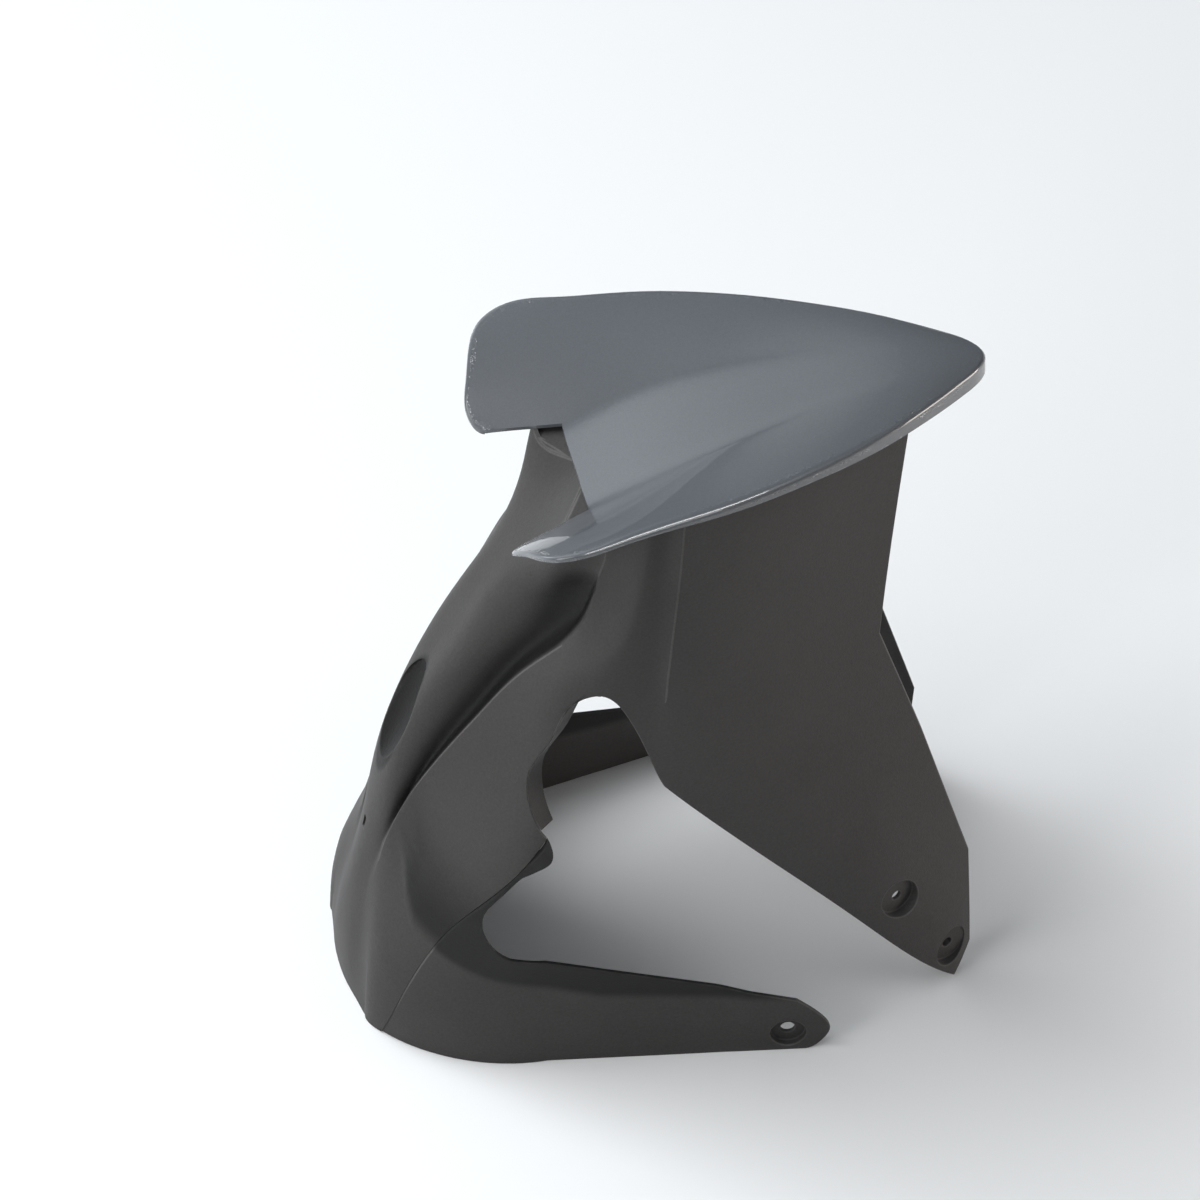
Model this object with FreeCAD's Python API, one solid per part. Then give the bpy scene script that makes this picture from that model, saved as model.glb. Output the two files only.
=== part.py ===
import FreeCAD, Part
import os
from FreeCAD import Vector

# A motorcycle front mudguard: painted top cover, textured body, two lower stays, cover screws.
# Millimetres, +X to the front of the motorcycle, +Z up, Z = 0 the floor it stands on.
# Every line below is given for one side with n = distance from the middle plane, then mirrored.

# Driving dimensions
WALL = 2.8
COVER_WALL = 2.5
LIP_DROP = 10.0
LIP_TAPER = 1.7
LIP_TAPER_FROM = 100.0
FIT_GAP = 0.15
LAP_BACK = 10.0
LAP_AHEAD = 8.0
LAP_WALL = 2.2
LAP_SINK = 0.5
STAY_HOLE = 8.5
STAY_SEAT = 22.0
STAY_SEAT_DEEP = 4.5
PANEL_HOLE = 6.5
PANEL_SEAT = 25.0
PANEL_SEAT_DEEP = 4.5
SEAT_FLOOR = 3.0
SCREW_SHANK = 5.0
SCREW_HEAD = 12.0
SCREW_HEAD_THICK = 3.2
SCREW_LONG = 10.0
HEAD_SINK = 0.3
BOSS = 11.0
BOSS_GAP = 0.05
TOP_LEVEL = 446.0

# Heights of the body sections
LEVELS = [0, 40, 80, 116, 144, 175, 205, 235, 263, 288, 312, 340, 368, 402, TOP_LEVEL]

# Lines running up the body, each point (height, x, n)
CROWN = [(0, -200, 0), (51, -197, 0), (116, -185.5, 0), (178, -174, 0), (218, -162.4, 0),
         (248, -149.4, 0), (292, -125.9, 0), (334, -101, 0), (365, -78, 0), (398, -50, 0), (446, -14, 0)]
RIDGE = [(0, -198.5, 20), (51, -194.5, 18), (116, -180.5, 17.5), (178, -167.5, 20), (218, -155, 21),
         (248, -141.4, 23.5), (292, -116.9, 27), (334, -91.2, 30), (352, -80.5, 36), (372, -74, 42),
         (400, -69, 44), (446, -58, 44)]
SCOOP = [(0, -196.5, 31), (60, -191, 25), (116, -179.5, 20), (144, -171, 21.5), (201, -149.2, 27.4),
         (232, -133.1, 31.6), (263, -114.5, 34.5), (283, -102, 36.7), (308, -83, 41.4), (345, -64, 46.5),
         (372, -58, 50), (400, -54, 51), (446, -45, 51)]
EDGE = [(0, -194.5, 44), (60, -190, 34), (116, -180, 23), (144, -173.5, 25), (201, -151.5, 36),
        (232, -135.5, 42.5), (263, -116.3, 47), (283, -102.8, 50), (308, -79, 57), (345, -55.5, 55),
        (372, -51, 56), (400, -47.5, 56), (446, -39, 56)]
FACE = [(0, -180, 68), (84, -167.5, 69), (144, -148, 65), (201, -127.5, 65), (232, -114, 67),
        (263, -100, 65.5), (283, -91, 66), (308, -75.5, 66), (345, -51, 61),
        (372, -46.5, 60.5), (400, -42.5, 60.5), (446, -34.5, 60)]
GROOVE = [(0, -140, 96), (84, -131, 97), (148, -118, 97), (201, -102, 93), (232, -93, 88),
          (263, -85, 80), (283, -81, 76.5), (308, -70, 73.5), (345, -48, 68),
          (372, -42.5, 66.5), (400, -37.5, 65.5), (446, -29.5, 65)]
BULGE = [(0, -85, 106), (148, -75, 101), (208, -66, 97), (267, -56, 90), (315, -48, 87),
         (345, -39, 85.5), (400, -28, 80), (446, -21, 76)]
VALLEY = [(0, -45, 106), (148, -45, 103), (219, -40, 98.5), (267, -36, 94), (315, -29, 89), (345, -26, 87),
          (400, -18.5, 80.5), (446, -13.5, 77)]
CREASE = [(0, -22, 104), (148, -22, 102), (219, -22, 100), (258, -22, 98), (340, -15, 92), (446, -5.5, 83.5)]
PANEL = [(0, 100, 108), (93, 95, 104), (150, 72, 99), (219, 55, 90), (277, 50, 83),
         (350, 58, 73), (446, 66, 60)]
TURN = [(0, 143, 104), (81, 131, 98.5), (150, 112, 86), (219, 96, 74), (277, 92, 65),
        (350, 98, 55), (446, 108, 45)]
FRONT = [(0, 184, 62), (81, 187, 60), (150, 172, 57), (219, 152, 49), (277, 140, 44),
         (350, 146, 35), (446, 157, 25)]

# Lines running up each stay beyond the groove line
STAY_SIDE = [(0, -96, 106), (20, -96, 105.8), (40, -96, 105.2), (52, -96, 104.4), (64, -96, 103.2),
             (80, -95.5, 102.8), (110, -94, 102.4), (190, -80, 100)]
STAY_END = [(0, 80, 136.5), (20, 80, 136.1), (32, 80, 135.2), (42, 80, 133.6), (52, 80, 132.4), (64, 80, 132),
            (110, 78, 131.5), (190, 60, 128)]
STAY_LEVELS = [0, 20, 32, 42, 52, 64, 84, 121, 160, 190]

# Side view outlines, points (x, z)
ARCH_RIM = [(-22, 219), (-30, 242), (-43, 277), (-57, 293), (-71, 287), (-87, 257), (-101, 232),
            (-103, 215), (-94, 190)]
SEAM = [(-94, 190), (-127, 139), (-161, 84), (-177, 42), (-188, 0)]
LAP_LINE = [(-147, 106), (-161, 84), (-177, 42), (-182.5, 21)]
STAY_CORNER = [(-94, 190), (-92, 183), (-98, 173), (-123, 140), (-132, 122), (-130, 103), (-117, 88)]
STAY_TIP = [(54, 40.5), (66, 30), (73, 18), (68, 5), (56, 0)]
PANEL_TIP = (160, 0)
PANEL_FRONT = [(173, 14), (174.5, 82), (147, 186), (122.5, 268), (145, 421), (149, 460)]

# Roof of the body below the cover, points (x, z)
ROOF = [(-95, 390), (-52.5, 397), (-30, 401), (0, 411.5), (54.5, 424), (110, 433), (165, 435), (206, 426)]

# Cover lines running from tails to nose, each point (x, n, z)
CHANNEL = [(-122, 0, 385), (-52.5, 0, 401), (-7.5, 0, 420), (54.5, 0, 436), (110, 0, 445.5), (165, 0, 448),
           (206, 0, 438)]
CHANNEL_EDGE = [(-122, 48, 385.5), (-52.5, 30, 401.2), (-7.5, 32, 420.4), (54.5, 26, 436.6), (110, 17, 445.5),
                (165, 8, 447.8), (206, 3, 437.9)]
CREASE_TOP = [(-122, 55, 390), (-52.5, 36, 404), (-7.5, 38, 423), (54.5, 31.5, 438.5), (110, 22, 446),
              (165, 11, 447.6), (206, 4.5, 437.8)]
WING = [(-122, 72, 411), (-52.5, 70, 429), (-7.5, 66, 437.5), (54.5, 56, 443.5), (110, 42, 445.5),
        (165, 21, 446), (206, 9, 437.2)]
RIM = [(-122, 112, 436), (-75, 108, 443), (-44, 105, 447.5), (15.5, 96, 447.5), (73.5, 79, 446),
       (129.5, 55, 443), (182.5, 22, 440.5), (206, 14, 436)]
COVER_LEVELS = [-122, -85, -52.5, -15, 30, 75, 120, 165, 190, 206]

# Cover outline in plan, points (x, n) from the nose round to the notch corner
COVER_SIDE = [(199, 0), (195, 9), (182, 20), (129.5, 52), (73.5, 76), (15.5, 93), (-44, 103), (-72, 106),
              (-90, 99.5), (-103, 73), (-106, 62), (-101.5, 51), (-95, 47.5)]
NOTCH_CORNER = (-52.5, 36)

# Border turned in round the fork arch: rim places (x, z) with the share of its full width
ARCH_BORDER = [(-57, 293, 0.3), (-71, 287, 0.8), (-87, 257, 1.0), (-101, 232, 1.0), (-103, 215, 1.0),
               (-97, 196, 0.8)]
BORDER_FORWARD = 12.0
BORDER_INWARD = 11.0

# Bolt places in the side view, points (x, z), and the turn of their seats towards the front
PANEL_BOLTS = [(125, 82), (158.5, 25)]
PANEL_BOLT_TURN = 25.0
STAY_BOLT = (48, 14)
STAY_BOLT_TURN = -9.0

# Crown recess and slot: height, lengths and lean
RECESS_HEIGHT = 214.0
RECESS_LONG = 46.0
RECESS_WIDE = 15.0
RECESS_DEEP = 8.0
RECESS_LEAN = 25.0
SLOT_HEIGHT = 124.0
SLOT_TALL = 9.0
SLOT_WIDE = 3.5

# Cover screw places in plan, points (x, n)
SCREW_PLACES = [(-18, 18), (78, 13)]


def line_through(points):
    curve = Part.BSplineCurve()
    curve.interpolate(points)
    return curve


def place_on(curve, axis, value):
    low = curve.FirstParameter
    high = curve.LastParameter
    for step in range(40):
        middle = (low + high) / 2
        if curve.value(middle)[axis] < value:
            low = middle
        else:
            high = middle
    return curve.value((low + high) / 2)


def upright_lines(table):
    return [line_through([Vector(x, n, z) for z, x, n in row]) for row in table]


def mirrored_chain(rows, level, axis=2):
    # one side of a section as lists of plane points, mirrored into a full chain of curves
    sides = [[place_on(curve, axis, level) for curve in row] for row in rows]
    first = sides[0]
    far_first = [Vector(p.x, -p.y, p.z) for p in reversed(first[1:])]
    chain = [far_first + first]
    for side in sides[1:]:
        far = [Vector(p.x, -p.y, p.z) for p in reversed(side)]
        chain.insert(0, far)
        chain.append(side)
    return chain


def chord_steps(points):
    steps = [0.0]
    for before, after in zip(points, points[1:]):
        steps.append(steps[-1] + (after - before).Length)
    return [step / steps[-1] for step in steps]


def curve_through(points, steps):
    curve = Part.BSplineCurve()
    curve.interpolate(Points=points, Parameters=steps)
    return curve


def moved_inward(chain, steps, depth):
    # offset of a chain of curves towards its inner side, mitred where two curves meet
    normals = []
    for points, step in zip(chain, steps):
        curve = curve_through(points, step)
        row = []
        for value in step:
            tangent = curve.tangent(value)[0]
            row.append(Vector(tangent.y, -tangent.x, 0).normalize())
        normals.append(row)
    moved = []
    for index, points in enumerate(chain):
        row = []
        for place, point in enumerate(points):
            shift = normals[index][place]
            other = None
            if place == 0 and index > 0:
                other = normals[index - 1][-1]
            if place == len(points) - 1 and index < len(chain) - 1:
                other = normals[index + 1][0]
            if other is not None:
                shift = (shift + other) / (1 + shift.dot(other))
            row.append(point + shift * depth)
        moved.append(row)
    return moved


def to_world(points):
    return [Vector(p.x, -p.y, p.z) for p in points]


def shared_steps(chains):
    # one set of curve steps for all the sections, the mean of their chord steps
    steps = []
    for index in range(len(chains[0])):
        rows = [chord_steps(chain[index]) for chain in chains]
        steps.append([sum(values) / len(values) for values in zip(*rows)])
    return steps


def skin(chains, near, far):
    # solid between two depths below the outer chains of all the sections
    steps = shared_steps(chains)
    wires = []
    for chain in chains:
        outer = [to_world(row) for row in moved_inward(chain, steps, near)]
        inner = [to_world(row) for row in moved_inward(chain, steps, far)]
        edges = [curve_through(p, s).toShape() for p, s in zip(outer, steps)]
        back = [curve_through(p, s).toShape() for p, s in zip(inner, steps)]
        end_cap = Part.makeLine(outer[-1][-1], inner[-1][-1])
        start_cap = Part.makeLine(inner[0][0], outer[0][0])
        wires.append(Part.Wire(edges + [end_cap] + list(reversed(back)) + [start_cap]))
    return Part.makeLoft(wires, True, False)


def filled(chains, depth):
    # solid inside the chains moved inward by a depth, closed straight across the open front
    steps = shared_steps(chains)
    wires = []
    for chain in chains:
        rows = [to_world(row) for row in moved_inward(chain, steps, depth)]
        edges = [curve_through(p, s).toShape() for p, s in zip(rows, steps)]
        wires.append(Part.Wire(edges + [Part.makeLine(rows[-1][-1], rows[0][0])]))
    return Part.makeLoft(wires, True, False)


def side_prism(edges, low=-200, high=200):
    # prism across the whole width from edges drawn in the side view
    face = Part.Face(Part.Wire(edges))
    face.translate(Vector(0, low, 0))
    return face.extrude(Vector(0, high - low, 0))


def side_curve(points):
    return line_through([Vector(x, 0, z) for x, z in points]).toShape()


def side_lines(points):
    places = [Vector(x, 0, z) for x, z in points]
    return [Part.makeLine(a, b) for a, b in zip(places, places[1:])]


def cross_lines(table):
    return [line_through([Vector(x, n, z) for x, n, z in row]) for row in table]


def block_under(rows, levels, floor):
    # solid below the cover surface, from sections across the cover
    sections = []
    for level in levels:
        sides = [[place_on(curve, 0, level) for curve in row] for row in rows]
        middle = [Vector(p.x, -p.y, p.z) for p in reversed(sides[0][1:])] + sides[0]
        far = [Vector(p.x, -p.y, p.z) for p in reversed(sides[1])]
        sections.append([far, middle, sides[1]])
    steps = shared_steps(sections)
    wires = []
    for section in sections:
        edges = [curve_through(to_world(p), s).toShape() for p, s in zip(section, steps)]
        start = to_world(section[0])[0]
        end = to_world(section[-1])[-1]
        low_start = Vector(start.x, start.y, floor)
        low_end = Vector(end.x, end.y, floor)
        sides = [Part.makeLine(end, low_end), Part.makeLine(low_end, low_start),
                 Part.makeLine(low_start, start)]
        wires.append(Part.Wire(edges + sides))
    return Part.makeLoft(wires, True, False)


def lowered(shape, drop):
    copy = shape.copy()
    copy.translate(Vector(0, 0, -drop))
    return copy


def plan_prism(inset):
    # prism of the cover outline, moved inward from the rim by the inset
    side = [Vector(x, n, 0) for x, n in COVER_SIDE]
    curve = line_through(side)
    near = []
    for point in side:
        tangent = curve.tangent(curve.parameter(point))[0]
        near.append(point + Vector(-tangent.y, tangent.x, 0).normalize() * inset)
    near[0] = Vector(COVER_SIDE[0][0] - inset, 0, 0)
    corner = Vector(NOTCH_CORNER[0] - 3 * inset, NOTCH_CORNER[1] - 3 * inset, 0)
    near[-1] = near[-1] + Vector(0, -3 * inset, 0)
    far = [Vector(p.x, -p.y, 0) for p in reversed(near[1:])]
    rim = line_through(far + near)
    end = near[-1]
    far_end = Vector(end.x, -end.y, 0)
    far_corner = Vector(corner.x, -corner.y, 0)
    edges = [rim.toShape(), Part.makeLine(end, corner), Part.makeLine(corner, far_corner),
             Part.makeLine(far_corner, far_end)]
    face = Part.Face(Part.Wire(edges))
    return face.extrude(Vector(0, 0, 500))


def wall_place(shell, x, z):
    # outermost point of the shell on the near side at a place in the side view
    probe = Part.makeLine(Vector(x, -220, z), Vector(x, 0, z)).common(shell)
    return Vector(x, probe.BoundBox.YMin, z)


def seat_tools(place, direction, seat, deep, floor, hole):
    # cup of material, recess and through hole for one bolt, along a direction pointing outwards
    cup = Part.makeCylinder(seat / 2 + WALL, deep + floor + 15, place - direction * (deep + floor), direction)
    recess = Part.makeCylinder(seat / 2, deep + 20, place - direction * deep, direction)
    bore = Part.makeCylinder(hole / 2, deep + floor + 40, place - direction * (deep + floor + 15), direction)
    return cup, recess, bore


def turned_out(angle):
    return FreeCAD.Rotation(Vector(0, 0, 1), angle).multVec(Vector(0, -1, 0))


def both_sides(shape):
    return [shape, shape.mirror(Vector(0, 0, 0), Vector(0, 1, 0))]


def squashed_ball(long, wide, deep, lean, place):
    stretch = FreeCAD.Matrix()
    stretch.scale(deep, wide, long)
    ball = Part.makeSphere(1.0).transformGeometry(stretch)
    ball.rotate(Vector(0, 0, 0), Vector(0, 1, 0), lean)
    ball.translate(place)
    return ball


def lap_prism(back, forward):
    # side view strip along the seam, between two distances behind and ahead of it
    rear = [(x - back, z) for x, z in LAP_LINE]
    ahead = [(x + forward, z) for x, z in LAP_LINE]
    edges = [side_curve(rear)] + side_lines([rear[-1], ahead[-1]])
    edges += [side_curve(list(reversed(ahead)))] + side_lines([ahead[0], rear[0]])
    return side_prism(edges, -200, 0)


# Outer and inner forms of the body
upper_rows = [upright_lines([CROWN, RIDGE, SCOOP, EDGE]),
              upright_lines([EDGE, FACE, GROOVE, BULGE, VALLEY, CREASE]),
              upright_lines([CREASE, PANEL, TURN, FRONT])]
body_chains = [mirrored_chain(upper_rows, level) for level in LEVELS]
body_shell = skin(body_chains, 0, WALL)
body_core = filled(body_chains, WALL / 2)

# Painted top cover
cover_rows = [cross_lines([CHANNEL, CHANNEL_EDGE, CREASE_TOP]), cross_lines([CREASE_TOP, WING, RIM])]
under_cover = block_under(cover_rows, COVER_LEVELS, 300)
over_cover = block_under(cover_rows, COVER_LEVELS, 600)
over_lip = lowered(over_cover, LIP_DROP)
over_lip.rotate(Vector(LIP_TAPER_FROM, 0, TOP_LEVEL), Vector(0, 1, 0), LIP_TAPER)
cover = plan_prism(0).common(under_cover).common(over_lip)
cover = cover.cut(plan_prism(COVER_WALL).common(lowered(under_cover, COVER_WALL)))

# Mudguard body below the cover, with its roof
body = body_shell.cut(lowered(over_cover, COVER_WALL + FIT_GAP))
roof_top = line_through([Vector(x, 0, z) for x, z in ROOF])
roof_low = line_through([Vector(x, 0, z - WALL) for x, z in ROOF])
roof_edges = [roof_top.toShape(), Part.makeLine(roof_top.EndPoint, roof_low.EndPoint), roof_low.toShape(),
              Part.makeLine(roof_low.StartPoint, roof_top.StartPoint)]
roof = side_prism(roof_edges).common(body_core)
roof_fill = [roof_top.toShape()] + side_lines([ROOF[-1], (ROOF[-1][0], 300), (ROOF[0][0], 300), ROOF[0]])
body = body.fuse(roof)
front_cut = side_prism(side_lines([PANEL_TIP] + PANEL_FRONT + [(260, 460), (260, -20), PANEL_TIP]))
body = body.cut(front_cut)
gap_edges = [side_curve(ARCH_RIM), side_curve(SEAM)]
gap_edges += side_lines([SEAM[-1], (-150, -20), (PANEL_TIP[0] + 10, -20), PANEL_TIP, ARCH_RIM[0]])
body = body.cut(side_prism(gap_edges))

# Border turned in round each fork arch
rim_places = [wall_place(body_shell, x, z) + Vector(0, 0.3, 0) for x, z, share in ARCH_BORDER]
inner_places = [place + Vector(BORDER_FORWARD, BORDER_INWARD, -2) * share
                for place, (x, z, share) in zip(rim_places, ARCH_BORDER)]
band = Part.makeRuledSurface(line_through(rim_places).toShape(), line_through(inner_places).toShape())
border = band.extrude(Vector(-1.6, 2.2, 0.9))
for piece in both_sides(border):
    body = body.fuse(piece)

# Recessed bolt seats in the panel tips, their inner ends in one plane
panel_out = turned_out(PANEL_BOLT_TURN)
seat_places = [wall_place(body_shell, x, z) for x, z in PANEL_BOLTS]
nearest = min(place.dot(panel_out) for place in seat_places)
for place in seat_places:
    floor = SEAT_FLOOR + place.dot(panel_out) - nearest
    cup, recess, bore = seat_tools(place, panel_out, PANEL_SEAT, PANEL_SEAT_DEEP, floor, PANEL_HOLE)
    cup = cup.common(body_core).cut(front_cut)
    for add, cut_away, through in zip(both_sides(cup), both_sides(recess), both_sides(bore)):
        body = body.fuse(add).cut(cut_away).cut(through)

# Crown recess and slot
crown_line = line_through([Vector(x, n, z) for z, x, n in CROWN])
recess_place = place_on(crown_line, 2, RECESS_HEIGHT)
backing = squashed_ball(RECESS_LONG + WALL, RECESS_WIDE + WALL, RECESS_DEEP + WALL, RECESS_LEAN, recess_place)
hollow = squashed_ball(RECESS_LONG, RECESS_WIDE, RECESS_DEEP, RECESS_LEAN, recess_place)
body = body.fuse(backing.common(body_core)).cut(hollow)
slot_place = place_on(crown_line, 2, SLOT_HEIGHT)
slot = Part.makeBox(30, SLOT_WIDE, SLOT_TALL, slot_place - Vector(15, SLOT_WIDE / 2, SLOT_TALL / 2))
body = body.cut(slot)

# Lower stays with a lap behind the seam
stay_rows = [upright_lines([EDGE, FACE, GROOVE, STAY_SIDE]), upright_lines([STAY_SIDE, STAY_END])]
stay_chains = [[[place_on(curve, 2, level) for curve in row] for row in stay_rows] for level in STAY_LEVELS]
stay_shell = skin(stay_chains, 0, WALL)
seam_clear = [(x + FIT_GAP, z) for x, z in SEAM]
corner_clear = [(STAY_CORNER[0][0] + FIT_GAP, STAY_CORNER[0][1])] + STAY_CORNER[1:]
stay_outline = [side_curve(seam_clear), side_curve(corner_clear)]
stay_outline += side_lines([STAY_CORNER[-1], STAY_TIP[0]])
stay_outline += [side_curve(STAY_TIP)] + side_lines([STAY_TIP[-1], seam_clear[-1]])
stay = stay_shell.common(side_prism(stay_outline, -200, 0))
lap = skin(stay_chains, WALL - LAP_SINK, WALL + LAP_WALL).common(lap_prism(LAP_BACK, LAP_AHEAD))
lap_room = skin(stay_chains, WALL - LAP_SINK - FIT_GAP, WALL + LAP_WALL + 1)
lap_room = lap_room.common(lap_prism(LAP_BACK + FIT_GAP, LAP_AHEAD))
stay = stay.fuse(lap)
for piece in both_sides(lap_room):
    body = body.cut(piece)
stay_place = wall_place(stay_shell, STAY_BOLT[0], STAY_BOLT[1])
stay_core = skin(stay_chains, WALL / 2, 20)
stay_out = turned_out(STAY_BOLT_TURN)
cup, recess, bore = seat_tools(stay_place, stay_out, STAY_SEAT, STAY_SEAT_DEEP, SEAT_FLOOR, STAY_HOLE)
stay = stay.fuse(cup.common(stay_core)).cut(recess).cut(bore)

# Cover screws, driven up through the roof into bosses under the cover
screws = []
for x, n in SCREW_PLACES:
    roof_point = place_on(roof_top, 0, x)
    slope = roof_top.tangent(roof_top.parameter(roof_point))[0]
    axis = Vector(-slope.z, 0, slope.x)
    for side in (-1, 1):
        seat = Vector(roof_point.x, side * n, roof_point.z) - axis * (WALL * slope.x - HEAD_SINK)
        boss = Part.makeCylinder(BOSS / 2, 40, seat, axis).common(lowered(under_cover, COVER_WALL / 2))
        boss = boss.cut(lowered(side_prism(roof_fill), -BOSS_GAP))
        cover = cover.fuse(boss).cut(Part.makeCylinder(SCREW_SHANK / 2 + 0.05, SCREW_LONG + 1, seat, axis))
        body = body.cut(Part.makeCylinder(SCREW_SHANK / 2 + 0.4, 30, seat - axis * 12, axis))
        body = body.cut(Part.makeCylinder(SCREW_HEAD / 2 + 0.5, 8, seat - axis * 8, axis))
        shank = Part.makeCylinder(SCREW_SHANK / 2, SCREW_LONG, seat, axis)
        head = Part.makeCylinder(SCREW_HEAD / 2, SCREW_HEAD_THICK, seat - axis * SCREW_HEAD_THICK, axis)
        screws.append(head.fuse(shank))

# Centre the whole on the origin and write the nodes
nodes = {"mudguard_body": body, "top_cover": cover, "right_stay": stay, "left_stay": both_sides(stay)[1],
         "cover_screws": Part.makeCompound(screws)}
box = Part.makeCompound(list(nodes.values())).optimalBoundingBox()
middle = Vector(-(box.XMin + box.XMax) / 2, 0, -box.ZMin)
os.makedirs("parts", exist_ok=True)
for name, shape in nodes.items():
    shape.translate(middle)
    shape.exportStep("parts/" + name + ".step")
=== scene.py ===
from math import atan2, cos, degrees, inf, pi, radians, sin

import bmesh
import bpy
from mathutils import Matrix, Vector
from mathutils.bvhtree import BVHTree
from mathutils.kdtree import KDTree


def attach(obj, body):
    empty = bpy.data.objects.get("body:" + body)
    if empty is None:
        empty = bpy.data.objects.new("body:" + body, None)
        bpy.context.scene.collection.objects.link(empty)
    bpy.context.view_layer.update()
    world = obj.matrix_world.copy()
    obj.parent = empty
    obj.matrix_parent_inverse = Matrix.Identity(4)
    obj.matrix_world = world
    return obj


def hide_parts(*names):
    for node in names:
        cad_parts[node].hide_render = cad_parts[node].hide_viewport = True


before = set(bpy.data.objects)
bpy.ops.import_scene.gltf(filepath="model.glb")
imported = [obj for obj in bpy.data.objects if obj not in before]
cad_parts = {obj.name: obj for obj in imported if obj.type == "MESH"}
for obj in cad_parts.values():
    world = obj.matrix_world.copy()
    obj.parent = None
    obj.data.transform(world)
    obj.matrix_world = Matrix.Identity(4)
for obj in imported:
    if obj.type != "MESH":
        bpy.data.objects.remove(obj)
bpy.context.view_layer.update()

bl_info = {
    "name": "Front Mudguard",
    "version": (1, 0, 0),
    "blender": (4, 5, 0),
    "location": "View3D > Sidebar > Mudguard",
    "description": "Dresses a motorcycle front mudguard: painted cover, textured body, stays and screws",
    "category": "Object",
}

# Upper and lower edge of the scoop on each flank: height, and distance from the middle plane
SCOOP_TOP = ((0.116, 0.0175), (0.178, 0.0200), (0.218, 0.0210), (0.248, 0.0235), (0.292, 0.0270),
             (0.334, 0.0300), (0.352, 0.0360), (0.372, 0.0420))
SCOOP_LOW = ((0.116, 0.0230), (0.144, 0.0250), (0.201, 0.0360), (0.232, 0.0425), (0.263, 0.0470),
             (0.283, 0.0500), (0.308, 0.0566), (0.345, 0.0550), (0.372, 0.0560))

# Limits of the scoops: front end, heights, and distances from the middle plane
SCOOP_FRONT = -0.03
SCOOP_HEIGHTS = (0.116, 0.372)
SCOOP_WIDTHS = (0.0175, 0.057)

# Heights over which the scoops run out at both ends
SCOOP_LOW_END = (0.12, 0.165)
SCOOP_TOP_END = (0.345, 0.372)

# Shares of the scoop's width over which it sinks and rises again, and over which its painted shade comes and
# goes
SCOOP_SINKS = (0.0, 0.7)
SCOOP_RISES = (0.84, 1.0)
SHADE_COMES = (0.05, 0.4)
SHADE_GOES = (0.9, 1.0)

# Direction in which the scoops are pressed: forwards, and towards the middle plane
SCOOP_PRESS = (0.6, 0.8)

# Fold round the lower flank and along the stay: turn round an upright line, in degrees, and height
FOLD_MIDDLE = -0.0595
FOLD = ((0.0, 0.165), (12.6, 0.144), (17.8, 0.125), (24.2, 0.100), (28.9, 0.088), (37.0, 0.082),
        (56.0, 0.066), (88.0, 0.049), (130.0, 0.041), (160.0, 0.040))

# Limits of the fold: top, front end, and least distance from the middle plane
FOLD_TOP = 0.21
FOLD_FRONT = 0.07
FOLD_NEAREST = 0.018

# Fold: half the width of its valley, and where it begins beside the crown and runs out along the stay
FOLD_HALF_WIDTH = 0.045
FOLD_BEGINS = (0.02, 0.04)
FOLD_RUNS_OUT = (0.005, 0.03)

# Band of painted shade over the fold: heights of its lower edge on the body and on the stays, and of its
# upper edge
BAND_LOW_ON_BODY = (-0.002, 0.016)
BAND_LOW_ON_STAY = (-0.002, 0.006)
BAND_TOP_ON_BODY = (0.02, 0.085)
BAND_BEGINS = (0.02, 0.05)

# Hollow on the crown: height of its middle, half its length and half its width, front end, and the edge of
# the painted shade in it
CROWN_HOLLOW = (0.214, 0.048, 0.0155)
HOLLOW_FRONT = -0.12
HOLLOW_EDGE = (0.72, 0.98)

# Edge lengths of the flanks' meshes, and how far round the fold and the hollow they reach
SCOOP_MESH = 0.0025
FINEST_FLANK_MESH = 0.0014
FOLD_MESH = 0.002
FOLD_MESH_GROWTH = 0.12
FOLD_MESH_REACH = 0.05
HOLLOW_MESH = 0.0018
HOLLOW_MESH_REACH = 1.1
MESH_ROUNDS = 7

# Lengths over which the cover's rolled rim grows from the tails' radius to the full one
RIM_GROWS = (-0.075, -0.02)

# What counts as the cover's sharp outer edge: its angle, its least face, and how its two sides tilt
RIM_ANGLE = radians(35)
RIM_LEAST_FACE = 0.00000002
RIM_TOP_TILT = 0.5
RIM_SIDE_TILT = 0.4

# Notch between the tails, where the rim stays sharp: front end and half its width
NOTCH_FRONT = -0.05
NOTCH_HALF_WIDTH = 0.049

# Mesh of the rim: spacing of its points, edge length with the reach and growth of it, and zone that is evened
RIM_STEP = 0.001
RIM_MESH = 0.0008
RIM_MESH_EVEN = 0.005
RIM_MESH_GROWTH = 0.6
RIM_MESH_REACH = 0.03
RIM_ZONE = 0.008
RIM_MERGE = 0.0003
RIM_LEAST_EDGE = 0.0001
RIM_FLAT = radians(12)

# Reach of the rolling in rim radii, and number of rim points that its direction is taken from
RIM_REACH = 2.5
RIM_POINTS = 16

# Least distance between points of a copied solid, and how far the rounding may leave it, in edge widths
MERGE = 0.00002
STRAY = 0.6

# Angles in degrees: edges that are rounded, and edges that stay sharp in the shading
PLASTIC_ROUNDED = 20.0
STEEL_ROUNDED = 40.0
PLASTIC_SHARP = 16.0
PAINT_SHARP = 28.0
STEEL_SHARP = 30.0

# Screw heads: how straight down their flat ends look, and length that parts the front pair from the rear pair
HEAD_DOWN = -0.9
BETWEEN_PAIRS = 0.03

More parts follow.
